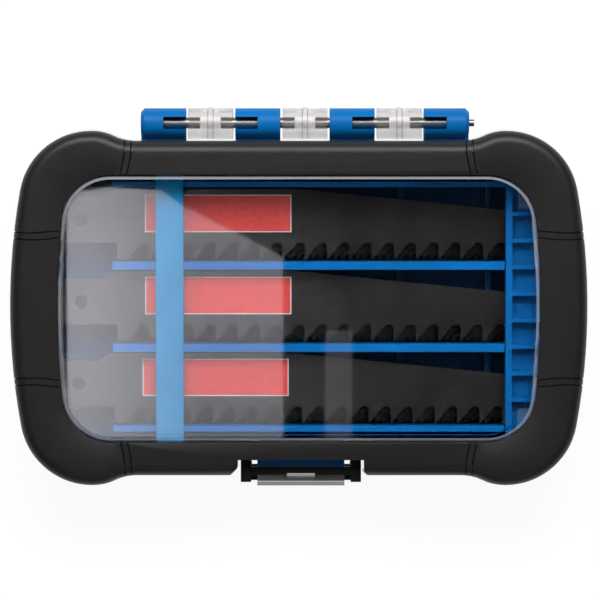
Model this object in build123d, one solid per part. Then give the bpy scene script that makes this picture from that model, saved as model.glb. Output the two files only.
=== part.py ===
from build123d import *
import os
from math import atan2, degrees, sqrt

# Saw blade storage case: a flat clamshell with a clear lid, a soft bumper round the lid, a steel hinge pin,
# a snap latch and three rows of reciprocating saw blades.
# Frame: +X along the rows towards the blade tips, +Y towards the hinge, +Z up through the lid.
# The origin is the middle of the base's flat underside. All lengths are in millimetres.

# Case plan, taken at the outside of the bumper
CASE_W = 162.4          # over the bowed ends
SIDE_ROOM = 14.35       # from the rows' end walls out to the raised corners
WAIST = 2.8             # how far the long sides fall back between the corners
CREST_X = 58.1          # a raised corner's level stretch ends here
WAIST_X = 45.9          # the fallen-back stretch starts here
SIDE_R = 188.0          # bow of the ends
CORNER_R = 20.3

# Heights
BASE_H = 18.0           # parting plane
LID_H = 10.0
SEAM = 0.2              # gap between the two rims
FLANGE_T = 2.2          # rim flange on either half
FLANGE_PROUD = 0.45     # lid's rim flange past the bumper
FLANGE_BACK = 0.4       # base's rim flange behind it

# Walls
SINK = 0.5              # how far a rib or post runs into the wall that it stands on
FLOOR_T = 2.2
BASE_WALL = 1.8
BASE_STEP = 1.2         # base wall behind the bumper's line
BASE_EDGE = 2.2         # chamfer round the base's underside
LID_WALL = 2.0
WINDOW_T = 2.0
BUMPER_SIDE = 2.6
BUMPER_TOP = 2.6
BUMPER_EDGE_R = 3.4
OVERMOULD_GAP = 0.02    # bumper to the shell that it is moulded on

# Window
WINDOW_W = 135.8
WINDOW_PAST_ROWS = 2.05 # window's long edges beyond the rows' end walls
WINDOW_R = 14.0
WINDOW_SIDE_R = 250.0
WINDOW_DROP = 0.4       # window below the bumper's top
WINDOW_EDGE = 1.3       # fillet round the window's top
GUSSET_X = 6.3          # corner gussets, from the window's edges
GUSSET_Y = 9.3
GUSSET_T = 1.0
GUSSET_H = 3.0

# Hinge
PIN_R = 1.5
PIN_FIT = 0.06
PIN_NOSE_R = 1.0
PIN_NOSE = 1.5
BARREL_R = 4.15
HINGE_GAP = 0.43        # barrel to the rim flange
BARREL_CLEAR = 0.12     # barrel arm to the bumper
BARREL_END = 1.0        # chamfer on the outer barrels' ends
BLIND_END = 0.9         # wall that closes the first barrel
KNUCKLES = 7
KNUCKLE_L = 12.7
KNUCKLE_GAP = 0.6
HINGE_START = -44.5     # left end of the first barrel
SLOT_W = 3.4
END_CAP = 2.2           # closed end of a base barrel beyond its lower slot
SLOT_WEB = 0.6          # solid ring between an upper slot and a lower one
LID_BARREL_SOLID = 5.8
RIB_W = 1.1
RIB_PROUD = 0.3

# Latch
LATCH_X = 0.6
LATCH_W = 34.0
LATCH_ARM_W = 2.95
LATCH_DEPTH = 4.3
EAR_CLEAR = 0.5         # latch's ears to the back of the recess
LATCH_Z = 5.2           # height of the latch's pivot
LATCH_OUT = 4.6         # pivot in front of the recess in the case
TRUNNION_R = 1.2
TRUNNION_L = 3.0
RECESS_DEEP = 7.4       # latch recess, from the raised corners in
RECESS_CLEAR = 0.85     # latch arm to the bumper, at the sides
MOUTH_CHAMFER = (2.4, 1.2)  # left and right corners of the recess's mouth
TONGUE_W = 24.7
TONGUE_T = 1.6
TONGUE_OUT = 8.0
LIP_T = 2.9
SWING_CLEAR = 0.3
LIP_R = 15.4            # the lip's top follows the bar's swing
LATCH_BAR_W = 2.3
LATCH_BAR_T = 1.9
LATCH_PLATE_T = 2.3
LATCH_SLOT_W = 8.0
LATCH_SLOT_D = 1.6
PLATE_ABOVE_LUG = 1.5   # latch plate's foot above the lugs
PLATE_BELOW_RIM = 0.4
LEDGE_CLEAR = 0.4       # ledge to the latch's bar and plate
LEDGE_LIP = 3.0
TONGUE_LIFT = 0.3       # tongue above the parting plane

# Blade rows
ROWS = 3
ROW_CLEAR = 21.1        # clear width of a row
DIVIDER_T = 2.3
DIVIDER_DROP = 2.5      # dividers' top below the parting plane
DIVIDER_START = -52.8
END_WALL_T = 1.6
REST_Z = 7.4            # blades lie on cross ribs at this height
RIB_T = 1.6
REST_X = (-51.5, -25.0, 2.0, 29.0, 54.0, 70.0)

# Cover over the blade tips
COVER_X = 58.7
COVER_BAR = 1.8
COVER_FLOOR = 1.2
COVER_SEAT = 12.2
COVER_DROP = 1.2        # cover's ribs below the parting plane
COVER_RIB_T = 1.2
COVER_PITCH = 7.54
COVER_CLEAR = 0.25
COVER_RIBS = 8

# Keeper bar
KEEPER_X = -36.6
KEEPER_W = 7.85
KEEPER_T = 1.7
KEEPER_DROP = 0.5       # strap's top below the parting plane
KEEPER_EYE_R = 2.4
KEEPER_PIVOT_OUT = 4.75 # from the rows' end walls out to the strap's pivot
KEEPER_END_OUT = 3.25   # and to the inside of its hook
KEEPER_TAB = 2.6
KEEPER_HOOK_T = 1.5
KEEPER_HOOK_H = 4.5     # hook down over the post
KEEPER_POST_T = 1.4
KEEPER_POST_DROP = 1.6  # post's top below the strap
KEEPER_CLEAR = 0.3
PAD_W = 12.0
LUG_T = 1.9

# Blades
BLADE_L = 150.0
BLADE_W = 20.2
BLADE_T = 1.25
BLADES_PER_ROW = 3
STACK_GAP = 0.1
BLADE_TANG_X = (-74.8, -74.0, -74.0)
TANG_L = 20.7
TANG_W = 13.0
TANG_CORNER = 1.5
TANG_HOLE_R = 1.95
TANG_HOLE_X = 12.0
TOOTH_PITCH = 6.35
TOOTH_DEPTH = 5.0
TOOTH_BACK = 51.0       # slope of a tooth's back
GULLET_R = 1.35
HEEL = 22.3             # the toothed edge starts here
TOOTH_START = 24.9      # tip of the first tooth
TEETH = 18
TAPER_START = 74.0
SHOULDER = 3.0
NOSE = 5.0
NOSE_TOP = 13.0
EDGE_CLEAR = 0.3        # teeth to the row's wall

PITCH = ROW_CLEAR + DIVIDER_T
ROWS_OUT = (ROWS - 1) / 2 * PITCH + ROW_CLEAR / 2 + END_WALL_T      # outside of the rows' end walls
CASE_D = 2 * (ROWS_OUT + SIDE_ROOM)
WINDOW_D = 2 * (ROWS_OUT + WINDOW_PAST_ROWS)
HINGE_Y = CASE_D / 2 - WAIST + FLANGE_PROUD + HINGE_GAP + BARREL_R
RECESS_Y = CASE_D / 2 - RECESS_DEEP
LATCH_Y = -(RECESS_Y + LATCH_OUT)
KEEPER_PIVOT_Y = ROWS_OUT + KEEPER_PIVOT_OUT
KEEPER_END_Y = -(ROWS_OUT + KEEPER_END_OUT)
LID_TOP = BASE_H + LID_H
RIM_Z = BASE_H - SEAM / 2
LID_Z = BASE_H + SEAM / 2
DIVIDER_TOP = BASE_H - DIVIDER_DROP
COVER_TOP = BASE_H - COVER_DROP
KEEPER_Z = BASE_H - KEEPER_DROP - KEEPER_T      # underside of the strap


def slab(face, low, high):
    """A plan face raised from one height to another."""
    return extrude(Pos(0, 0, low) * face, amount=high - low)


def block(x, y, z):
    """A box between two limits on each axis."""
    size = [abs(b - a) for a, b in (x, y, z)]
    middle = [(a + b) / 2 for a, b in (x, y, z)]
    return Pos(*middle) * Box(*size)


def rod(radius, start, end, y, z):
    """A round bar along X."""
    return Pos((start + end) / 2, y, z) * Rot(0, 90, 0) * Cylinder(radius, end - start)


def arc(centre, radius, start, end):
    return CenterArc(centre, radius, start, end - start)


def bowed_plan(width, depth, side_r, corner_r, inset, waist=0.0, crest_x=0.0, waist_x=0.0):
    """A rounded oblong with bowed ends; with a waist, its long sides fall back between the corners."""
    side_x = width / 2 - side_r
    corner_y = depth / 2 - corner_r
    corner_x = side_x + sqrt((side_r - corner_r) ** 2 - corner_y**2)
    turn = degrees(atan2(corner_y, corner_x - side_x))
    top = depth / 2 - inset
    quarter = Curve() + arc((side_x, 0), side_r - inset, 0, turn)
    quarter += arc((corner_x, corner_y), corner_r - inset, turn, 90)
    if waist:
        crest_x = min(crest_x, corner_x)
        run = crest_x - waist_x
        bend_r = (run**2 + waist**2) / (4 * waist)
        slope = degrees(atan2(run / 2, bend_r - waist / 2))
        if corner_x - crest_x > 0.001:
            quarter += Line((corner_x, top), (crest_x, top))
        quarter += arc((crest_x, depth / 2 - bend_r), bend_r - inset, 90, 90 + slope)
        quarter += arc((waist_x, depth / 2 - waist + bend_r), bend_r + inset, 270, 270 + slope)
        quarter += Line((waist_x, top - waist), (0, top - waist))
    else:
        quarter += Line((corner_x, top), (0, top))
    half = quarter + mirror(quarter, about=Plane.YZ)
    return make_face(half + mirror(half, about=Plane.XZ))


def outline_plan(inset):
    return bowed_plan(CASE_W, CASE_D, SIDE_R, CORNER_R, inset, WAIST, CREST_X, WAIST_X)


def recess_plan(inset):
    """The latch recess, which grows as the outline is inset, with chamfered corners at its mouth."""
    left = LATCH_X - LATCH_W / 2 - RECESS_CLEAR - inset
    right = LATCH_X + LATCH_W / 2 + RECESS_CLEAR + inset
    back = -RECESS_Y + inset
    front = -CASE_D / 2 - 1
    mouth = -CASE_D / 2 + WAIST + inset
    wide_left, wide_right = left - MOUTH_CHAMFER[0], right + MOUTH_CHAMFER[1]
    return make_face(Polyline(
        (left, back), (left, mouth + MOUTH_CHAMFER[0]), (wide_left, mouth), (wide_left, front),
        (wide_right, front), (wide_right, mouth), (right, mouth + MOUTH_CHAMFER[1]), (right, back),
        close=True))


def case_plan(inset):
    return outline_plan(inset) - recess_plan(inset)


def window_plan(inset):
    return bowed_plan(WINDOW_W, WINDOW_D, WINDOW_SIDE_R, WINDOW_R, inset)


def barrel_span(number):
    start = HINGE_START + number * (KNUCKLE_L + KNUCKLE_GAP)
    return start, start + KNUCKLE_L


def barrel(number, upper):
    """A hinge barrel with its arm, on the lid when upper, or on the base."""
    start, end = barrel_span(number)
    bumper = CASE_D / 2 - WAIST
    body = rod(BARREL_R, start, end, HINGE_Y, BASE_H)
    if upper:
        middle = (start + end) / 2
        body += rod(BARREL_R + RIB_PROUD, middle - RIB_W / 2, middle + RIB_W / 2, HINGE_Y, BASE_H)
        body += block((start, end), (bumper - 1, HINGE_Y), (LID_Z, LID_Z + FLANGE_T))
        return body + block((start, end), (bumper + BARREL_CLEAR, HINGE_Y), (LID_Z, BASE_H + BARREL_R))
    if number in (0, KNUCKLES - 1):
        outside = body.faces().sort_by(Axis.X)[0 if number == 0 else -1]
        body = chamfer(outside.edges(), BARREL_END)
    return body + block((start, end), (bumper - BASE_STEP - 1, HINGE_Y), (BASE_H - BARREL_R, RIM_Z))


def pin_bore():
    """The hole for the pin, blind in the first barrel."""
    start = barrel_span(0)[0] + BLIND_END
    return rod(PIN_R + PIN_FIT, start, barrel_span(KNUCKLES)[1], HINGE_Y, BASE_H)


def barrel_slots(number, upper):
    """Slots that open a barrel to its pin: half the length from above, the other half from below."""
    start, end = barrel_span(number)
    middle = (start + end) / 2
    width = (HINGE_Y - SLOT_W / 2, HINGE_Y + SLOT_W / 2)
    above, below = (BASE_H, BASE_H + 2 * BARREL_R), (BASE_H - 2 * BARREL_R, BASE_H)
    if upper:
        solid = LID_BARREL_SOLID / 2
        ends = block((start - 1, middle - solid), width, above)
        ends += block((middle + solid, end + 1), width, above)
        return ends + block((middle - solid + SLOT_WEB, middle + solid - SLOT_WEB), width, below)
    if number % 4 == 0:
        lower = block((start + END_CAP, middle - SLOT_WEB), width, below)
        return block((middle, end + 1), width, above) + lower
    lower = block((middle + SLOT_WEB, end - END_CAP), width, below)
    return block((start - 1, middle), width, above) + lower


def base_walls():
    """The base's outer shell: flat floor, walls that follow the plan, and the rim flange."""
    shell = slab(outline_plan(BASE_STEP), 0, RIM_Z)
    shell = chamfer(shell.edges().group_by(Axis.Z)[0], BASE_EDGE) & slab(case_plan(BASE_STEP), 0, RIM_Z)
    shell += slab(case_plan(FLANGE_BACK), RIM_Z - FLANGE_T, RIM_Z)
    return shell - slab(case_plan(BASE_STEP + BASE_WALL), FLOOR_T, BASE_H + 1)


def row_walls():
    """Dividers and end walls of the blade rows, lower under the cover, and the cross ribs."""
    walls = Part()
    outer = ROWS_OUT - END_WALL_T
    spans = [(n * PITCH - DIVIDER_T / 2, n * PITCH + DIVIDER_T / 2) for n in (-0.5, 0.5)]
    spans += [(outer, ROWS_OUT), (-ROWS_OUT, -outer)]
    for span in spans:
        walls += block((DIVIDER_START, COVER_X - COVER_CLEAR), span, (FLOOR_T - SINK, DIVIDER_TOP))
        walls += block((COVER_X - 1, CASE_W / 2), span, (FLOOR_T - SINK, COVER_SEAT))
    for x in REST_X:
        walls += block((x - RIB_T / 2, x + RIB_T / 2), (-outer - 1, outer + 1), (FLOOR_T - SINK, REST_Z))
    return walls & slab(case_plan(BASE_STEP + BASE_WALL / 2), 0, BASE_H)


def latch_mount():
    """The ledge under the lid's tongue and the two lugs that carry the latch."""
    half = TONGUE_W / 2
    ledge_y = LATCH_Y + LATCH_DEPTH / 2 + LEDGE_CLEAR
    ledge = block((LATCH_X - half, LATCH_X + half), (ledge_y, -RECESS_Y + 1), (BASE_EDGE, RIM_Z))
    ledge += block((LATCH_X - half, LATCH_X + half), (LATCH_Y + LEDGE_CLEAR, ledge_y), (RIM_Z - LEDGE_LIP, RIM_Z))
    lugs = Part()
    for side in (-1, 1):
        ends = sorted((LATCH_X + side * half, LATCH_X + side * (LATCH_SLOT_W / 2 + 1)))
        lug = rod(LATCH_DEPTH / 2, *ends, LATCH_Y, LATCH_Z)
        high = (LATCH_Z - LATCH_DEPTH / 2, LATCH_Z + LATCH_DEPTH / 2)
        lug += block(ends, (LATCH_Y, -RECESS_Y + 1), high)
        deep = LATCH_X + side * (half - TRUNNION_L)
        mouth = LATCH_X + side * (half + 1)
        lugs += lug - rod(TRUNNION_R + PIN_FIT, *sorted((deep, mouth)), LATCH_Y, LATCH_Z)
    return ledge + lugs


def keeper_mount():
    """Two lugs at the hinge end of the keeper bar and a post at its free end."""
    mount = Part()
    pivot_z = KEEPER_Z + KEEPER_T - KEEPER_EYE_R
    for side in (-1, 1):
        near = KEEPER_X + side * (KEEPER_W / 2 + KEEPER_CLEAR)
        ends = sorted((near, near + side * LUG_T))
        lug = rod(KEEPER_EYE_R, *ends, KEEPER_PIVOT_Y, pivot_z)
        deep = (KEEPER_PIVOT_Y - KEEPER_EYE_R, KEEPER_PIVOT_Y + KEEPER_EYE_R)
        lug += block(ends, deep, (FLOOR_T - SINK, pivot_z))
        mount += lug - rod(TRUNNION_R + PIN_FIT, near - LUG_T - 1, near + LUG_T + 1, KEEPER_PIVOT_Y, pivot_z)
    face = KEEPER_END_Y - KEEPER_CLEAR
    wide = (KEEPER_X - KEEPER_W / 2, KEEPER_X + KEEPER_W / 2)
    return mount + block(wide, (face - KEEPER_POST_T, face), (FLOOR_T - SINK, KEEPER_Z - KEEPER_POST_DROP))


def base_shell():
    shell = base_walls() + row_walls() + latch_mount() + keeper_mount()
    for number in range(0, KNUCKLES, 2):
        shell += barrel(number, upper=False)
        shell -= barrel_slots(number, upper=False)
    return shell - pin_bore()


def lid_tongue():
    """The catch tongue under the latch bar; its lip is cut to the bar's swing."""
    half = TONGUE_W / 2
    wide = (LATCH_X - half, LATCH_X + half)
    tip = -RECESS_Y - TONGUE_OUT
    low = BASE_H + TONGUE_LIFT
    tongue = block(wide, (tip, -RECESS_Y + BUMPER_SIDE + 1), (low, low + TONGUE_T))
    lip = block(wide, (tip, tip + LIP_T), (low, low + 2 * TONGUE_T))
    return tongue + (lip & rod(LIP_R, *wide, LATCH_Y, LATCH_Z))


def window_gussets(roof):
    """Four small L-shaped gussets inside the corners of the window."""
    gussets = Part()
    x, y = WINDOW_W / 2 - GUSSET_X, WINDOW_D / 2 - GUSSET_Y
    high = (roof - GUSSET_H, roof + SINK)
    for side in (-1, 1):
        for end in (-1, 1):
            gussets += block((side * x, side * WINDOW_W / 2), (end * y, end * (y + GUSSET_T)), high)
            gussets += block((side * x, side * (x + GUSSET_T)), (end * y, end * WINDOW_D / 2), high)
    return gussets & slab(window_plan(LID_WALL - SINK), *high)


def lid_shell():
    """The clear lid: rim flange, stepped wall under the bumper, raised window, tongue and hinge barrels."""
    shoulder = LID_TOP - BUMPER_TOP
    window_top = LID_TOP - WINDOW_DROP
    window = slab(window_plan(0.1), shoulder - 1, window_top)
    window = fillet(window.edges().group_by(Axis.Z)[-1], WINDOW_EDGE)
    shell = slab(case_plan(-FLANGE_PROUD), LID_Z, LID_Z + FLANGE_T)
    shell += slab(case_plan(BUMPER_SIDE), LID_Z, shoulder)
    shell += window
    shell -= slab(case_plan(BUMPER_SIDE + LID_WALL), LID_Z - 1, shoulder - LID_WALL)
    shell -= slab(window_plan(LID_WALL), shoulder - LID_WALL - 1, window_top - WINDOW_T)
    shell += window_gussets(window_top - WINDOW_T)
    shell += lid_tongue()
    for number in range(1, KNUCKLES, 2):
        shell += barrel(number, upper=True)
        shell -= barrel_slots(number, upper=True)
    return shell - pin_bore()


def lid_bumper():
    """The soft frame moulded over the lid's edge, open at the window and at the latch."""
    low = LID_Z + FLANGE_T + OVERMOULD_GAP
    frame = slab(outline_plan(0), low, LID_TOP)
    frame = fillet(frame.edges().group_by(Axis.Z)[-1], BUMPER_EDGE_R) & slab(case_plan(0), low, LID_TOP)
    frame -= slab(case_plan(BUMPER_SIDE - OVERMOULD_GAP), low - 1, LID_TOP - BUMPER_TOP + OVERMOULD_GAP)
    return frame - slab(window_plan(0), low, LID_TOP + 1)


def hinge_pin():
    start = barrel_span(0)[0] + BLIND_END + PIN_FIT
    end = barrel_span(KNUCKLES - 1)[1]
    return rod(PIN_R, start, end, HINGE_Y, BASE_H) + rod(PIN_NOSE_R, end - 1, end + PIN_NOSE, HINGE_Y, BASE_H)


def latch():
    """A loop lever: two arms on stub trunnions, a front plate and a bar that swings over the tongue."""
    outer = LATCH_W / 2
    inner = outer - LATCH_ARM_W
    bar_r = LIP_R + SWING_CLEAR
    top = LATCH_Z + bar_r + LATCH_BAR_T
    y = (LATCH_Y - LATCH_DEPTH / 2, LATCH_Y + LATCH_DEPTH / 2)
    lever = Part()
    for side in (-1, 1):
        ends = sorted((LATCH_X + side * inner, LATCH_X + side * outer))
        arm = block(ends, y, (LATCH_Z, top)) + rod(LATCH_DEPTH / 2, *ends, LATCH_Y, LATCH_Z)
        arm += block(ends, (LATCH_Y, -RECESS_Y - EAR_CLEAR), (BASE_H, top))
        face = LATCH_X + side * inner
        stub = sorted((LATCH_X + side * (TONGUE_W / 2 - TRUNNION_L + SWING_CLEAR), face))
        lever += arm + rod(TRUNNION_R, *stub, LATCH_Y, LATCH_Z)
    across = (LATCH_X - inner - 1, LATCH_X + inner + 1)
    bar = block(across, (y[1] - LATCH_BAR_W, y[1]), (BASE_H, top))
    bar -= rod(bar_r, LATCH_X - inner, LATCH_X + inner, LATCH_Y, LATCH_Z)
    plate_low = LATCH_Z + LATCH_DEPTH / 2 + PLATE_ABOVE_LUG
    plate = block(across, (y[0], y[0] + LATCH_PLATE_T), (plate_low, BASE_H - PLATE_BELOW_RIM))
    slot_y = y[0] + LATCH_PLATE_T - LATCH_SLOT_D
    half = LATCH_SLOT_W / 2
    slot = block((LATCH_X - half, LATCH_X + half), (slot_y, slot_y + LATCH_SLOT_D + 0.2), (0, LID_TOP))
    return lever + (bar + plate - slot)


def tip_cover():
    """The ribbed cover that the blade tips slide under."""
    low, high = COVER_SEAT, COVER_TOP
    cover = block((COVER_X, CASE_W / 2), (-ROWS_OUT, ROWS_OUT), (low, low + COVER_FLOOR))
    cover += block((COVER_X, COVER_X + COVER_BAR), (-ROWS_OUT, ROWS_OUT), (low, high))
    for n in range(COVER_RIBS):
        y = (n - (COVER_RIBS - 1) / 2) * COVER_PITCH
        cover += block((COVER_X, CASE_W / 2), (y - COVER_RIB_T / 2, y + COVER_RIB_T / 2), (low, high))
    return cover & slab(case_plan(BASE_STEP + BASE_WALL + COVER_CLEAR), low, high)


def keeper_bar():
    """The strap across the rows, with a pad for each row, a hinged eye and a snap end with a finger tab."""
    wide = (KEEPER_X - KEEPER_W / 2, KEEPER_X + KEEPER_W / 2)
    top = KEEPER_Z + KEEPER_T
    pivot_z = top - KEEPER_EYE_R
    strap = block(wide, (KEEPER_END_Y - KEEPER_TAB, KEEPER_PIVOT_Y), (KEEPER_Z, top))
    strap += rod(KEEPER_EYE_R, *wide, KEEPER_PIVOT_Y, pivot_z)
    reach = KEEPER_W / 2 + KEEPER_CLEAR + LUG_T - 0.1
    strap += rod(TRUNNION_R, KEEPER_X - reach, KEEPER_X + reach, KEEPER_PIVOT_Y, pivot_z)
    pad_z = REST_Z + BLADES_PER_ROW * (BLADE_T + STACK_GAP) + KEEPER_CLEAR
    for row in range(ROWS):
        y = (row - (ROWS - 1) / 2) * PITCH
        strap += block(wide, (y - PAD_W / 2, y + PAD_W / 2), (pad_z, KEEPER_Z + 0.1))
    return strap + block(wide, (KEEPER_END_Y, KEEPER_END_Y + KEEPER_HOOK_T), (KEEPER_Z - KEEPER_HOOK_H, top))


def tooth_gap(x, fine):
    """The space between two teeth: a sloping back, a round gullet and an upright face, or a plain notch."""
    start, end = (x, 0), (x + TOOTH_PITCH, 0)
    if not fine:
        return make_face(Polyline(start, (x + TOOTH_PITCH - GULLET_R, TOOTH_DEPTH), end, close=True))
    centre = (x + TOOTH_PITCH - GULLET_R, TOOTH_DEPTH - GULLET_R)
    gullet = arc(centre, GULLET_R, 0, 90 + TOOTH_BACK)
    return make_face(Curve() + gullet + [Line(gullet @ 1, start), Line(start, end), Line(end, gullet @ 0)])


def blade_plan(layer):
    """A wood blade seen flat: tang to the left, teeth down, back edge tapering to a sloping nose.
    The hidden blades have plain notches, and no two in a stack have theirs in line."""
    below_top = BLADES_PER_ROW - 1 - layer
    first_tip = TOOTH_START + below_top / BLADES_PER_ROW * TOOTH_PITCH
    tang_top = TOOTH_DEPTH + TANG_W
    back, tip = (BLADE_L - NOSE, NOSE_TOP), (BLADE_L, NOSE_TOP - NOSE)
    round_over = (BLADE_L - NOSE * 0.25, NOSE_TOP - NOSE * 0.3)
    chin = (BLADE_L - NOSE * 0.8, TOOTH_DEPTH * 0.6)
    last_tooth = (BLADE_L - NOSE * 0.9, 0)
    nose = Curve() + [Line((TAPER_START, BLADE_W), back), ThreePointArc(back, round_over, tip)]
    lower = Polyline(tip, chin, last_tooth, (HEEL, 0), (HEEL, TOOTH_DEPTH), (TANG_CORNER, TOOTH_DEPTH),
                     (0, TOOTH_DEPTH + TANG_CORNER), (0, tang_top - TANG_CORNER), (TANG_CORNER, tang_top),
                     (TANG_L - SHOULDER, tang_top), (TANG_L, BLADE_W), (TAPER_START, BLADE_W))
    plan = make_face(nose + lower)
    for n in range(TEETH):
        plan -= tooth_gap(first_tip + n * TOOTH_PITCH, fine=below_top == 0)
    return plan - Pos(TANG_HOLE_X, TOOTH_DEPTH + TANG_W / 2) * Circle(TANG_HOLE_R)


def blade(row, layer):
    low = (row - (ROWS - 1) / 2) * PITCH - ROW_CLEAR / 2 + EDGE_CLEAR
    z = REST_Z + STACK_GAP + layer * (BLADE_T + STACK_GAP)
    return Pos(BLADE_TANG_X[row], low, z) * extrude(blade_plan(layer), amount=BLADE_T)


def main():
    os.makedirs("parts", exist_ok=True)
    nodes = {
        "base_shell": base_shell(),
        "tip_cover": tip_cover(),
        "hinge_pin": hinge_pin(),
        "lid_shell": lid_shell(),
        "lid_bumper": lid_bumper(),
        "latch": latch(),
        "keeper_bar": keeper_bar(),
    }
    for row in range(ROWS):
        for layer in range(BLADES_PER_ROW):
            nodes[f"blade_row{row + 1}_{layer + 1}"] = blade(row, layer)
    for name, shape in nodes.items():
        export_step(shape, f"parts/{name}.step")


main()
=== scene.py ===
import bmesh
import bpy
from math import radians
from mathutils import Matrix, Vector


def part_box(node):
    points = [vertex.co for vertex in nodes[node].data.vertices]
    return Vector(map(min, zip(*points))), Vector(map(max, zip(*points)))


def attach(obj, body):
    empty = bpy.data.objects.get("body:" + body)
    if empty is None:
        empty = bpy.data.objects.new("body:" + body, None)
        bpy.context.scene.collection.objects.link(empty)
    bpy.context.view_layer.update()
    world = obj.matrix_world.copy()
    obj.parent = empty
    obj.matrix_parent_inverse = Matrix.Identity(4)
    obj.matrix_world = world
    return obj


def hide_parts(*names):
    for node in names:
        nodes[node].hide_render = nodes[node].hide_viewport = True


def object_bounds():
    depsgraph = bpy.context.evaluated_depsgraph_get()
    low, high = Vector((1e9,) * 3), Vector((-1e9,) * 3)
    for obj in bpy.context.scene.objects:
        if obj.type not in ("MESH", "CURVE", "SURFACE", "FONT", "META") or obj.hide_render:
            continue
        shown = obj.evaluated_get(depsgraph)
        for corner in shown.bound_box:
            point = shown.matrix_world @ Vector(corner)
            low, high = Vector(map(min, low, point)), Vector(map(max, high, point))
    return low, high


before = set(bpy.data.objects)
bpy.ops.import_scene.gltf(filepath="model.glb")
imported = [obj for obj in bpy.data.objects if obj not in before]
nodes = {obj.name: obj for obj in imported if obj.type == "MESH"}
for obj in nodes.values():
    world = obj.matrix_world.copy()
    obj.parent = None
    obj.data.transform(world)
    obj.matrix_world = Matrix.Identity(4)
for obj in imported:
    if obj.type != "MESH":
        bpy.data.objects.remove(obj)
cad_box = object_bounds()

# Camera. A long lens stands nearly straight above the closed case, a little towards its hinge,
# so the clear lid is seen face on and the sides of the case stay out of sight.
MM = 0.001
lid_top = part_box("lid_bumper")[1].z
view_height = 900 * MM              # lens above the lid's top
view_field = 168.1 * MM             # width of the view at the lid's top
view_target = Vector((0.35 * MM, 2.57 * MM, lid_top))
view_y = 51 * MM
camera_data = bpy.data.cameras.new("camera")
camera = bpy.data.objects.new("camera", camera_data)
bpy.context.scene.collection.objects.link(camera)
camera.location = (view_target.x, view_y, lid_top + view_height)
back = (camera.location - view_target).normalized()
right = Vector((0, 1, 0)).cross(back).normalized()
camera.rotation_euler = Matrix((right, back.cross(right), back)).transposed().to_euler()
camera_data.sensor_width = 36
camera_data.lens = camera_data.sensor_width * (view_target - camera.location).length / view_field
camera_data.clip_start = 0.01
camera_data.clip_end = 20
bpy.context.scene.camera = camera

# Base shell. The lower half of the clamshell, injection moulded in bright blue polypropylene: tray,
# dividers, cross ribs, latch lugs and its four hinge barrels are one piece with a fine satin grain.
BLUE = (0.0012, 0.134, 0.41)
TRAY_SHADE_HEIGHTS = (9 * MM, 14 * MM)            # painted shade: the tray darkens from the upper of these heights to the lower
# share of the blue left at the bottom of the painted shade
TRAY_PAINTED_SHADE = 0.3
UNEVEN = 0.06                       # how far a moulding's roughness strays


def finish_node(name, material):
    """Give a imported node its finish."""
    mesh = nodes[name].data
    mesh.materials.clear()
    mesh.materials.append(material)


def shader_nodes(name):
    """A new material, its node tree and its Principled shader."""
    material = bpy.data.materials.new(name)
    material.use_nodes = True
    tree = material.node_tree
    return material, tree, tree.nodes["Principled BSDF"]


def add(tree, kind, **inputs):
    """A node with some of its sockets set or joined, named with underscores for spaces, or i0, i1, i2."""
    node = tree.nodes.new(kind)
    for key, value in inputs.items():
        socket = node.inputs[int(key[1:]) if key[0] == "i" and key[1:].isdigit() else key.replace("_", " ")]
        if isinstance(value, bpy.types.NodeSocket):
            tree.links.new(value, socket)
        else:
            socket.default_value = value
    return node


def maths(tree, operation, *values):
    """The result of a Math node."""
    node = add(tree, "ShaderNodeMath", **{f"i{n}": value for n, value in enumerate(values)})
    node.operation = operation
    return node.outputs["Value"]


def ramp(tree, factor, low, high, start=0.0, end=1.0):
    """A colour that runs from low to high as the factor goes from start to end."""
    node = add(tree, "ShaderNodeValToRGB", Fac=factor)
    for stop, place, colour in zip(node.color_ramp.elements, (start, end), (low, high)):
        stop.position = place
        stop.color = (*colour, 1) if len(colour) == 3 else colour
    return node.outputs["Color"]


def mixed_colour(tree, factor, first, second):
    """A colour between two others; each is a socket or three numbers."""
    node = add(tree, "ShaderNodeMix", Factor=factor)
    node.data_type = "RGBA"
    for socket, value in ((node.inputs[6], first), (node.inputs[7], second)):
        if isinstance(value, bpy.types.NodeSocket):
            tree.links.new(value, socket)
        else:
            socket.default_value = (*value, 1)
    return node.outputs[2]


def spread(tree, factor, low, high):
    """A plain number that runs from low to high with a factor of 0 to 1."""
    node = add(tree, "ShaderNodeMapRange", Value=factor, To_Min=low, To_Max=high)
    return node.outputs["Result"]


def noise(tree, scale, detail=3.0, stretch=None):
    """Noise over the piece's own coordinates, drawn out along an axis when stretch is given."""
    place = add(tree, "ShaderNodeTexCoord").outputs["Object"]
    if stretch:
        place = add(tree, "ShaderNodeMapping", Vector=place, Scale=stretch).outputs["Vector"]
    return add(tree, "ShaderNodeTexNoise", Vector=place, Scale=scale, Detail=detail).outputs["Fac"]


def shaded(colour, share):
    return tuple(c * share for c in colour)


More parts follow.
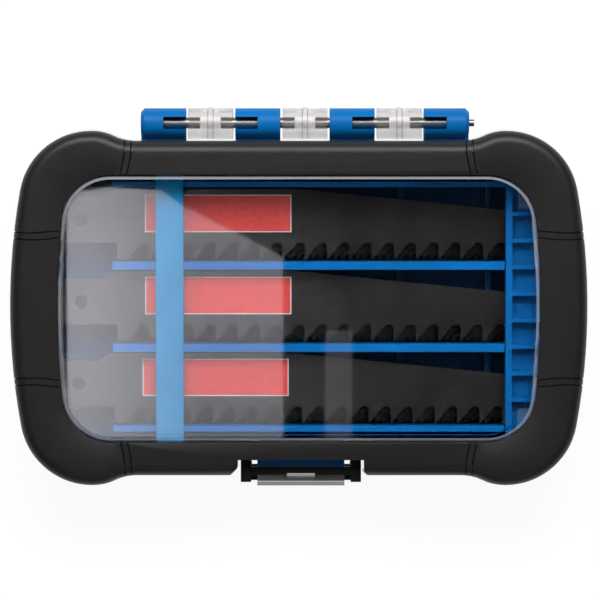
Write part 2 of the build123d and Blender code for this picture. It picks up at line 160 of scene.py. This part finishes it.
def moulded(name, colour, roughness, grain=0.00003, spread_of_colour=0.1, sheen_of_skin=0.1, shade_heights=None):
    """A moulded plastic: faint flow marks, uneven gloss, a fine grain, and, if heights are given, painted shade
    that darkens it below them.
    """
    material, tree, shader = shader_nodes(name)
    shader.inputs["Specular IOR Level"].default_value = sheen_of_skin
    flow = noise(tree, 38, 2)
    pale, full = shaded(colour, 1 - spread_of_colour), shaded(colour, 1 + spread_of_colour)
    tint = ramp(tree, flow, pale, full, 0.3, 0.7)
    # Painted shade: below the given heights the colour runs down to a shaded copy of itself.
    if shade_heights:
        place = add(tree, "ShaderNodeTexCoord").outputs["Object"]
        height = add(tree, "ShaderNodeSeparateXYZ", Vector=place).outputs["Z"]
        raised = add(tree, "ShaderNodeMapRange", Value=height, From_Min=shade_heights[0], From_Max=shade_heights[1])
        tint = mixed_colour(tree, raised.outputs["Result"], shaded(colour, TRAY_PAINTED_SHADE), tint)
    tree.links.new(tint, shader.inputs["Base Color"])
    gloss = spread(tree, noise(tree, 140), roughness - UNEVEN, roughness + UNEVEN)
    tree.links.new(gloss, shader.inputs["Roughness"])
    bump = add(tree, "ShaderNodeBump", Height=noise(tree, 2600, 2), Distance=grain, Strength=0.6)
    tree.links.new(bump.outputs["Normal"], shader.inputs["Normal"])
    return material


# The tray gets painted shade low down, among its dividers and under the blades.
blue_plastic = moulded("blue_polypropylene", BLUE, 0.36, shade_heights=TRAY_SHADE_HEIGHTS)
finish_node("base_shell", blue_plastic)

# Tip cover. A second blue moulding, pressed into the end of the tray; the blade tips slide
# under its floor, and its ribs make the ladder along the right edge of the window.
cover_plastic = moulded("blue_cover_polypropylene", shaded(BLUE, 0.92), 0.4)
finish_node("tip_cover", cover_plastic)

# Hinge pin. Drawn steel rod, plain and a little grey, held in the base's barrels. Fine draw marks
# run along it and show in its tint and its gloss.
PIN_STEEL = (0.33, 0.315, 0.29)
pin_steel, tree, shader = shader_nodes("drawn_steel")
drawn = noise(tree, 900, 3, stretch=(0.03, 1, 1))
drawn_tint = ramp(tree, drawn, shaded(PIN_STEEL, 0.7), shaded(PIN_STEEL, 1.15), 0.3, 0.7)
tree.links.new(drawn_tint, shader.inputs["Base Color"])
tree.links.new(spread(tree, drawn, 0.28, 0.45), shader.inputs["Roughness"])
shader.inputs["Metallic"].default_value = 1.0
bump = add(tree, "ShaderNodeBump", Height=drawn, Distance=0.00002, Strength=0.5)
tree.links.new(bump.outputs["Normal"], shader.inputs["Normal"])
finish_node("hinge_pin", pin_steel)

# Blades. Punched carbon steel with a black oxide coat, worn a little by handling, so that faint
# lengthwise rub marks show in its gloss.
COAT = (0.026, 0.0247, 0.0237)
BLADE_PAINTED_SHADE = 0.3                         # painted shade: the blades underneath are darker and duller, for the shade of the blade above
blade_names = sorted(n for n in nodes if n.startswith("blade_"))
top_blades = [[n for n in blade_names if n.startswith(f"blade_row{row}")][-1] for row in (1, 2, 3)]


def coated_steel(name, coat, gloss, roughness):
    material, tree, shader = shader_nodes(name)
    rub = noise(tree, 420, 4, stretch=(0.06, 1, 1))
    mottle = noise(tree, 90, 4)
    tint = ramp(tree, mottle, shaded(coat, 0.75), shaded(coat, 1.35), 0.3, 0.7)
    tree.links.new(tint, shader.inputs["Base Color"])
    tree.links.new(spread(tree, rub, *roughness), shader.inputs["Roughness"])
    shader.inputs["Metallic"].default_value = 0.2
    shader.inputs["Specular IOR Level"].default_value = gloss
    bump = add(tree, "ShaderNodeBump", Height=rub, Distance=0.00002, Strength=0.5)
    tree.links.new(bump.outputs["Normal"], shader.inputs["Normal"])
    return material


steel = coated_steel("black_coated_steel", COAT, 0.5, (0.1, 0.24))
oiled_steel = coated_steel("oiled_steel", shaded(COAT, BLADE_PAINTED_SHADE), 0.2, (0.2, 0.35))
# The uppermost blade of each row has the plain coat; those below it get a darker, duller copy, which is painted
# shade.
for name in blade_names:
    finish_node(name, steel if name in top_blades else oiled_steel)

# Printed panels. A red field with a thin white rule round it, pad printed on the uppermost blade
# of each row; the lettering that such blades carry is left off.
PANEL_SIZE = (41.7 * MM, 10.7 * MM)
PANEL_PLACE = (30.2 * MM, 7.9 * MM)     # from the tang's end and the teeth's line
PANEL_RULE = 0.28 * MM
PANEL_FILM = 0.03 * MM
FILM_LIFT = 0.002 * MM
RED = (0.68, 0.045, 0.039)
RULE_WHITE = (0.62, 0.6, 0.58)


def printed(name, colour):
    """A thin ink film, slightly thin in places."""
    material, tree, shader = shader_nodes(name)
    cover = noise(tree, 700, 4)
    tint = ramp(tree, cover, shaded(colour, 0.82), shaded(colour, 1.06), 0.3, 0.6)
    tree.links.new(tint, shader.inputs["Base Color"])
    tree.links.new(spread(tree, cover, 0.4, 0.55), shader.inputs["Roughness"])
    return material


red_ink = printed("red_ink", RED)
white_ink = printed("white_ink", RULE_WHITE)


def slab_into(mesh, x, y, z, material):
    """A flat box between limits, added to a bmesh."""
    made = bmesh.ops.create_cube(mesh, size=1)["verts"]
    for v in made:
        v.co = Vector((x[v.co.x > 0], y[v.co.y > 0], z[v.co.z > 0]))
    for face in {f for v in made for f in v.link_faces}:
        face.material_index = material


def piece_from(mesh, name, *materials):
    data = bpy.data.meshes.new(name)
    mesh.to_mesh(data)
    mesh.free()
    for material in materials:
        data.materials.append(material)
    piece = bpy.data.objects.new(name, data)
    bpy.context.scene.collection.objects.link(piece)
    return piece


for row, top_blade in enumerate(top_blades, 1):
    low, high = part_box(top_blade)
    x0, y0 = low.x + PANEL_PLACE[0], low.y + PANEL_PLACE[1]
    x1, y1 = x0 + PANEL_SIZE[0], y0 + PANEL_SIZE[1]
    z0, z1 = high.z + FILM_LIFT, high.z + PANEL_FILM
    panel = bmesh.new()
    slab_into(panel, (x0 + PANEL_RULE, x1 - PANEL_RULE), (y0 + PANEL_RULE, y1 - PANEL_RULE), (z0, z1), 0)
    slab_into(panel, (x0, x1), (y0, y0 + PANEL_RULE), (z0, z1), 1)
    slab_into(panel, (x0, x1), (y1 - PANEL_RULE, y1), (z0, z1), 1)
    slab_into(panel, (x0, x0 + PANEL_RULE), (y0 + PANEL_RULE, y1 - PANEL_RULE), (z0, z1), 1)
    slab_into(panel, (x1 - PANEL_RULE, x1), (y0 + PANEL_RULE, y1 - PANEL_RULE), (z0, z1), 1)
    panel = piece_from(panel, f"printed_panel_{row}", red_ink, white_ink)
    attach(panel, "base")

# Keeper bar. A brighter blue strap that swings up from two lugs near the hinge and snaps
# behind a post at the front; it holds all three rows down. Its corners are eased by the mould.
KEEPER_BLUE = (0.001, 0.255, 0.54)
KEEPER_EASE = 0.35 * MM
SHARP = radians(40)
WELD = 0.002 * MM


def welded(name):
    """A copy of a node's mesh with its seams closed."""
    mesh = bmesh.new()
    mesh.from_mesh(nodes[name].data)
    bmesh.ops.remove_doubles(mesh, verts=mesh.verts, dist=WELD)
    return mesh


def eased(mesh, width, chosen=lambda edge: True, steps=2):
    """Round over the sharp outside edges of a mesh that are chosen."""
    mesh.normal_update()
    edges = [e for e in mesh.edges if len(e.link_faces) == 2 and e.is_convex
             and e.calc_face_angle() > SHARP and chosen(e)]
    bmesh.ops.bevel(mesh, geom=edges, offset=width, segments=steps, profile=0.5,
                    affect="EDGES", clamp_overlap=True)


def stands_for(mesh, name, body, material):
    """A finished copy that replaces a node and moves with the node's body."""
    piece = piece_from(mesh, f"{name}_finished", material)
    data = piece.data
    if "custom_normal" in data.attributes:
        data.attributes.remove(data.attributes["custom_normal"])
    data.shade_smooth()
    data.set_sharp_from_angle(angle=SHARP)
    for face in data.polygons:
        face.material_index = 0
    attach(piece, body)
    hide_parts(name)
    return piece


keeper_plastic = moulded("bright_blue_polypropylene", KEEPER_BLUE, 0.3)
keeper = welded("keeper_bar")
bmesh.ops.dissolve_limit(keeper, angle_limit=radians(1), verts=keeper.verts, edges=keeper.edges)
eased(keeper, KEEPER_EASE)
stands_for(keeper, "keeper_bar", "keeper", keeper_plastic)

# Latch. Glass-filled black nylon in one piece, smooth on its bar and grained on its plate, though here it has
# the same fine grain all over, with the corners of its ears and bar well rounded for the thumb.
NYLON = (0.009, 0.009, 0.009)
LATCH_EASE = 0.55 * MM
nylon = moulded("black_nylon", NYLON, 0.38, grain=0.00005)
lever = welded("latch")
bmesh.ops.dissolve_limit(lever, angle_limit=radians(1), verts=lever.verts, edges=lever.edges)
eased(lever, LATCH_EASE)
stands_for(lever, "latch", "latch", nylon)

# Lid shell. Polished clear polycarbonate: window, wall, rim flange, catch tongue and the three
# hinge barrels, which come from the tool unpolished, so they look milky. Its shadow is faint.
CLEAR = (0.93, 0.945, 0.955)
MILKY = (0.72, 0.7, 0.695)
RING_EDGE_PAINTED_SHADE = (0.42, 0.4, 0.4)
SMOKY = (0.61, 0.59, 0.605)
SMOKY_FRONT = (0.31, 0.3, 0.31)
BARRELS_FROM = 47.6 * MM            # the barrels lie beyond the rim, between the outer base barrels
BARRELS_OUT_TO = 45.5 * MM
RING_X = 1.75 * MM                  # the middle barrel's ring rib, the pitch of the three, and the grey lines of painted shade along its edges
RING_PITCH = 26.6 * MM
RING_HALF = 0.75 * MM
RING_LINE = 0.16 * MM
LIP_FROM = -45.8 * MM               # the lip of the catch tongue is smoky, its grained front more so
LIP_FRONT_FROM = -49.4 * MM
EDGE_PAINTED_HIGHLIGHT = (0.62, 0.64, 0.67)     # painted highlight: the rounded edge of the window is given a pale colour for the light it catches
EDGE_SHARE = 0.34
EDGE_DEEP = 1.9 * MM
EDGE_TILT = (0.05, 0.985)
GUSSET_WITHIN = ((61.4, 66.2), (28.2, 36.4))        # the grained corner gussets, in mm
GUSSET_TOP = 25.4 * MM
GUSSET_GRAIN = 0.12                 # share of the barrels' grain
GRAIN_ROUGHNESS = 0.24
LIP_CLOUD = 0.38                    # share of the barrels' cloudiness
CLOUD = -0.42                       # transmission lost where it is cloudiest
clear, tree, shader = shader_nodes("clear_polycarbonate")
axes = add(tree, "ShaderNodeSeparateXYZ", Vector=add(tree, "ShaderNodeTexCoord").outputs["Object"]).outputs
beyond = maths(tree, "GREATER_THAN", axes["Y"], BARRELS_FROM)
between = maths(tree, "LESS_THAN", maths(tree, "ABSOLUTE", axes["X"]), BARRELS_OUT_TO)
milky = maths(tree, "MULTIPLY", beyond, between)
swirl = ramp(tree, noise(tree, 30, 2), shaded(CLEAR, 0.985), CLEAR, 0.3, 0.7)
off_ring = maths(tree, "WRAP", maths(tree, "SUBTRACT", axes["X"], RING_X), RING_PITCH / 2, -RING_PITCH / 2)
ring_shade_lines = maths(tree, "COMPARE", maths(tree, "ABSOLUTE", off_ring), RING_HALF, RING_LINE)
# Painted shade: thin grey lines at the edges of each barrel's ring rib.
tint = mixed_colour(tree, milky, swirl, mixed_colour(tree, ring_shade_lines, MILKY, RING_EDGE_PAINTED_SHADE))
tint = mixed_colour(tree, maths(tree, "LESS_THAN", axes["Y"], LIP_FROM), tint, SMOKY)
tint = mixed_colour(tree, maths(tree, "LESS_THAN", axes["Y"], LIP_FRONT_FROM), tint, SMOKY_FRONT)
tree.links.new(tint, shader.inputs["Base Color"])
grained = milky
for axis, (start, end) in zip("XY", GUSSET_WITHIN):
    size = maths(tree, "ABSOLUTE", axes[axis])
    inside = maths(tree, "COMPARE", size, (start + end) / 2 * MM, (end - start) / 2 * MM)
    grained = inside if axis == "X" else maths(tree, "MULTIPLY", grained, inside)
grained = maths(tree, "MULTIPLY", grained, maths(tree, "LESS_THAN", axes["Z"], GUSSET_TOP))
grained = maths(tree, "MAXIMUM", milky, maths(tree, "MULTIPLY", grained, GUSSET_GRAIN))
polish = maths(tree, "MULTIPLY_ADD", grained, GRAIN_ROUGHNESS, spread(tree, noise(tree, 60), 0.01, 0.03))
tree.links.new(polish, shader.inputs["Roughness"])
lip = maths(tree, "LESS_THAN", axes["Y"], LIP_FROM)
cloudy = maths(tree, "MAXIMUM", grained, maths(tree, "MULTIPLY", lip, LIP_CLOUD))
tree.links.new(maths(tree, "MULTIPLY_ADD", cloudy, CLOUD, 1.0), shader.inputs["Transmission Weight"])
shader.inputs["IOR"].default_value = 1.5
path = add(tree, "ShaderNodeLightPath")
through = add(tree, "ShaderNodeBsdfTransparent", Color=(0.8, 0.815, 0.825, 1))
mixed = add(tree, "ShaderNodeMixShader", Fac=path.outputs["Is Shadow Ray"])
tree.links.new(shader.outputs["BSDF"], mixed.inputs[1])
tree.links.new(through.outputs["BSDF"], mixed.inputs[2])
tree.links.new(mixed.outputs["Shader"], tree.nodes["Material Output"].inputs["Surface"])
finish_node("lid_shell", clear)
# The faces of the window's rounded edge get a pale colour mixed with a clear one: a painted highlight.
window_edge_highlight, tree, shader = shader_nodes("polycarbonate_edge_highlight")
shader.inputs["Base Color"].default_value = (*EDGE_PAINTED_HIGHLIGHT, 1)
shader.inputs["Roughness"].default_value = 0.3
straight = add(tree, "ShaderNodeBsdfTransparent", Color=(0.86, 0.88, 0.9, 1))
mixed = add(tree, "ShaderNodeMixShader", Fac=EDGE_SHARE)
tree.links.new(straight.outputs["BSDF"], mixed.inputs[1])
tree.links.new(shader.outputs["BSDF"], mixed.inputs[2])
tree.links.new(mixed.outputs["Shader"], tree.nodes["Material Output"].inputs["Surface"])
lid_mesh = nodes["lid_shell"].data
lid_mesh.materials.append(window_edge_highlight)
for face in lid_mesh.polygons:
    if face.center.z > lid_top - EDGE_DEEP and EDGE_TILT[0] < face.normal.z < EDGE_TILT[1]:
        face.material_index = 1

# Bumper. A soft black elastomer frame moulded over the lid's edge. Eight pairs of fine grooves
# cross its band, where the frame gives on a corner, and its edges round over at the window.
RUBBER = (0.0088, 0.0081, 0.0074)
BUMPER_EASE = 0.7 * MM
GROOVE_HALF = 0.22 * MM
GROOVE_DEPTH = 0.35 * MM
GROOVE_BOW = 0.6 * MM               # towards the middle of the side
BOW_STEPS = 8
EASED_FROM = 2.2 * MM               # below the lid's top, where the eased edges start
REACH_IN = -0.7                     # how far in a groove cuts faces, in lengths from its middle
GROOVES_ACROSS = ((47.0, 48.2), (48.85, 50.05))     # mm from the middle, at the outer and inner edge
GROOVES_ALONG = ((20.0, 20.0), (21.9, 21.9))
BAND = {"x": (37.6, 49.9), "y": (67.9, 81.2)}       # inner and outer edge of the band, in mm
rubber = moulded("black_elastomer", RUBBER, 0.43, grain=0.00007, spread_of_colour=0.06, sheen_of_skin=0.32)


def with_borders(faces):
    """Faces with their edges and corners, each once, in the order of the faces."""
    edges = [e for f in faces for e in f.edges]
    corners = [v for f in faces for v in f.verts]
    return list(dict.fromkeys(faces + edges + corners))


def groove(mesh, outer, inner):
    """A fine V groove across the band, between its outer and inner edge in plan."""
    run = (outer - inner).normalized()
    length = (outer - inner).length
    across = Vector((-run.y, run.x, 0))
    middle = (outer + inner) / 2
    for offset in (-GROOVE_HALF, GROOVE_HALF, 0):
        place = middle + across * offset
        near = [f for f in mesh.faces
                if any((v.co - middle).dot(run) > REACH_IN * length for v in f.verts)
                and min((v.co - place).dot(across) for v in f.verts) < 0
                and max((v.co - place).dot(across) for v in f.verts) > 0
                and (f.calc_center_median() - middle).dot(run) > -0.8 * length]
        bmesh.ops.bisect_plane(mesh, geom=with_borders(near), dist=WELD, plane_co=place, plane_no=across)
    mesh.normal_update()
    moves = []
    for v in mesh.verts:
        away = v.co - middle
        if abs(away.dot(across)) > 2 * WELD or away.dot(run) < REACH_IN * length:
            continue
        outside = [f.normal for f in v.link_faces if f.normal.z > 0.3 or f.normal.dot(run) > 0.3]
        if outside:
            moves.append((v, sum(outside, Vector()).normalized()))
    for v, normal in moves:
        v.co -= normal * GROOVE_DEPTH


def bow(mesh, outer, inner, towards):
    """Bow a groove sideways, most at its middle."""
    run = (outer - inner).normalized()
    length = (outer - inner).length
    across = Vector((-run.y, run.x, 0))

    def of_groove(v):
        away = v.co - inner
        return abs(away.dot(across)) < GROOVE_HALF + WELD and -WELD < away.dot(run) < length + WELD

    for step in range(1, BOW_STEPS):
        faces = [f for f in mesh.faces if all(of_groove(v) for v in f.verts)]
        cut = inner + run * length * step / BOW_STEPS
        bmesh.ops.bisect_plane(mesh, geom=with_borders(faces), dist=WELD, plane_co=cut, plane_no=run)
    for v in [v for v in mesh.verts if of_groove(v)]:
        share = (v.co - inner).dot(run) / length
        v.co += towards * GROOVE_BOW * 4 * share * (1 - share)


bumper = welded("lid_bumper")
eased(bumper, BUMPER_EASE, lambda e: min(v.co.z for v in e.verts) > lid_top - EASED_FROM)
for sx in (-1, 1):
    for sy in (-1, 1):
        for out, into in GROOVES_ACROSS:
            ends = (Vector((sx * out, sy * BAND["x"][1], 0)) * MM,
                    Vector((sx * into, sy * BAND["x"][0], 0)) * MM)
            groove(bumper, *ends)
            bow(bumper, *ends, Vector((-sx, 0, 0)))
        for out, into in GROOVES_ALONG:
            ends = (Vector((sx * BAND["y"][1], sy * out, 0)) * MM,
                    Vector((sx * BAND["y"][0], sy * into, 0)) * MM)
            groove(bumper, *ends)
            bow(bumper, *ends, Vector((0, -sy, 0)))
stands_for(bumper, "lid_bumper", "lid", rubber)

# Room. A white table under the case, soft white light from the back and front, and dark overhead,
# so that the window is clear but for a softbox's veil on its left half and the softbox's stand.
FLOOR_SIZE = 6.0
floor_mesh = bmesh.new()
bmesh.ops.create_grid(floor_mesh, x_segments=1, y_segments=1, size=FLOOR_SIZE / 2)
white_table, tree, shader = shader_nodes("white_table")
shader.inputs["Base Color"].default_value = (0.9, 0.9, 0.9, 1)
shader.inputs["Roughness"].default_value = 0.8
path = add(tree, "ShaderNodeLightPath").outputs
seen = maths(tree, "MAXIMUM", path["Is Camera Ray"], path["Is Glossy Ray"])
seen = maths(tree, "MULTIPLY", maths(tree, "MAXIMUM", seen, path["Is Transmission Ray"]), 0.9)
glow = add(tree, "ShaderNodeEmission", Color=(1, 1, 1, 1), Strength=1.04)
mixed = add(tree, "ShaderNodeMixShader", Fac=seen)
tree.links.new(shader.outputs["BSDF"], mixed.inputs[1])
tree.links.new(glow.outputs["Emission"], mixed.inputs[2])
tree.links.new(mixed.outputs["Shader"], tree.nodes["Material Output"].inputs["Surface"])
floor = piece_from(floor_mesh, "table", white_table)
floor.location.z = cad_box[0][2] - 0.05 * MM

ROOM_LIGHT = 0.17
DARK_FROM, DARK_ABOVE = 0.955, 0.975        # how far up the room darkens, as the height of a direction
world = bpy.data.worlds.new("room")
bpy.context.scene.world = world
world.use_nodes = True
tree = world.node_tree
direction = add(tree, "ShaderNodeTexCoord").outputs["Generated"]
up = add(tree, "ShaderNodeSeparateXYZ", Vector=direction).outputs["Z"]
overhead = add(tree, "ShaderNodeMapRange", Value=up, From_Min=DARK_FROM, From_Max=DARK_ABOVE,
               To_Min=ROOM_LIGHT, To_Max=0.0)
camera_ray = add(tree, "ShaderNodeLightPath").outputs["Is Camera Ray"]
strength = maths(tree, "MAXIMUM", overhead.outputs["Result"], camera_ray)
background = tree.nodes["Background"]
tree.links.new(strength, background.inputs["Strength"])
background.inputs["Color"].default_value = (1, 1, 1, 1)


def area_light(name, place, size, power, aim=(0, 0, 0)):
    data = bpy.data.lights.new(name, "AREA")
    data.shape = "RECTANGLE"
    data.size, data.size_y = size
    data.energy = power
    lamp = bpy.data.objects.new(name, data)
    bpy.context.scene.collection.objects.link(lamp)
    lamp.visible_camera = False
    lamp.location = place
    lamp.rotation_euler = (Vector(aim) - lamp.location).to_track_quat("-Z", "Y").to_euler()


area_light("back_softbox", (0.05, 0.75, 0.95), (1.1, 0.55), 7.0)
area_light("back_strip", (0.0, 0.38, 0.5), (0.6, 0.25), 2.9)
area_light("front_softbox", (0.2, -1.1, 1.1), (1.0, 0.6), 1.1)

# Softbox over the window: where it lies in the window, in mm, and how far above it hangs.
VEIL = ((-65, -33), (-62, -36.5), (-4.4, -36.5), (-4.4, 14.6), (-12.3, 18.8), (-32, 28.7), (-38.5, 33.2),
        (-53, 34.1), (-61.5, 32.9), (-65, 29.5))
STAND = ((7.4, -42), (15, -42), (15, -6), (7.4, -6))
VEIL_FADE = (-60, -28)              # where its light starts and stops falling off, in mm
SOFTBOX_HEIGHT = 700 * MM
SOFTBOX_WHITE = (0.98, 0.96, 1.03, 1)


def overhead_panel(name, outline, bright, dim):
    """A glowing panel, brightest to the left, that the camera sees only mirrored in the window."""
    mesh = bmesh.new()
    reach = SOFTBOX_HEIGHT / view_height
    corners = []
    for x, y in outline:
        place = Vector((x * MM, y * MM, 0))
        eye = Vector((camera.location.x, camera.location.y, 0))
        corners.append(mesh.verts.new(place + (place - eye) * reach + Vector((0, 0, lid_top + SOFTBOX_HEIGHT))))
    mesh.faces.new(corners)
    material, tree, shader = shader_nodes(name)
    place = add(tree, "ShaderNodeTexCoord").outputs["Object"]
    along = add(tree, "ShaderNodeSeparateXYZ", Vector=place).outputs["X"]
    start, end = (x * MM * (1 + reach) for x in VEIL_FADE)
    fade = add(tree, "ShaderNodeMapRange", Value=along, From_Min=start, From_Max=end,
               To_Min=bright, To_Max=dim)
    glow = add(tree, "ShaderNodeEmission", Color=SOFTBOX_WHITE, Strength=fade.outputs["Result"])
    tree.links.new(glow.outputs["Emission"], tree.nodes["Material Output"].inputs["Surface"])
    panel = piece_from(mesh, name, material)
    panel.visible_camera = False
    panel.visible_shadow = False
    panel.visible_diffuse = False


overhead_panel("window_softbox", VEIL, 3.8, 1.55)
overhead_panel("softbox_stand", STAND, 0.5, 0.5)

bpy.context.scene.view_settings.view_transform = "Standard"
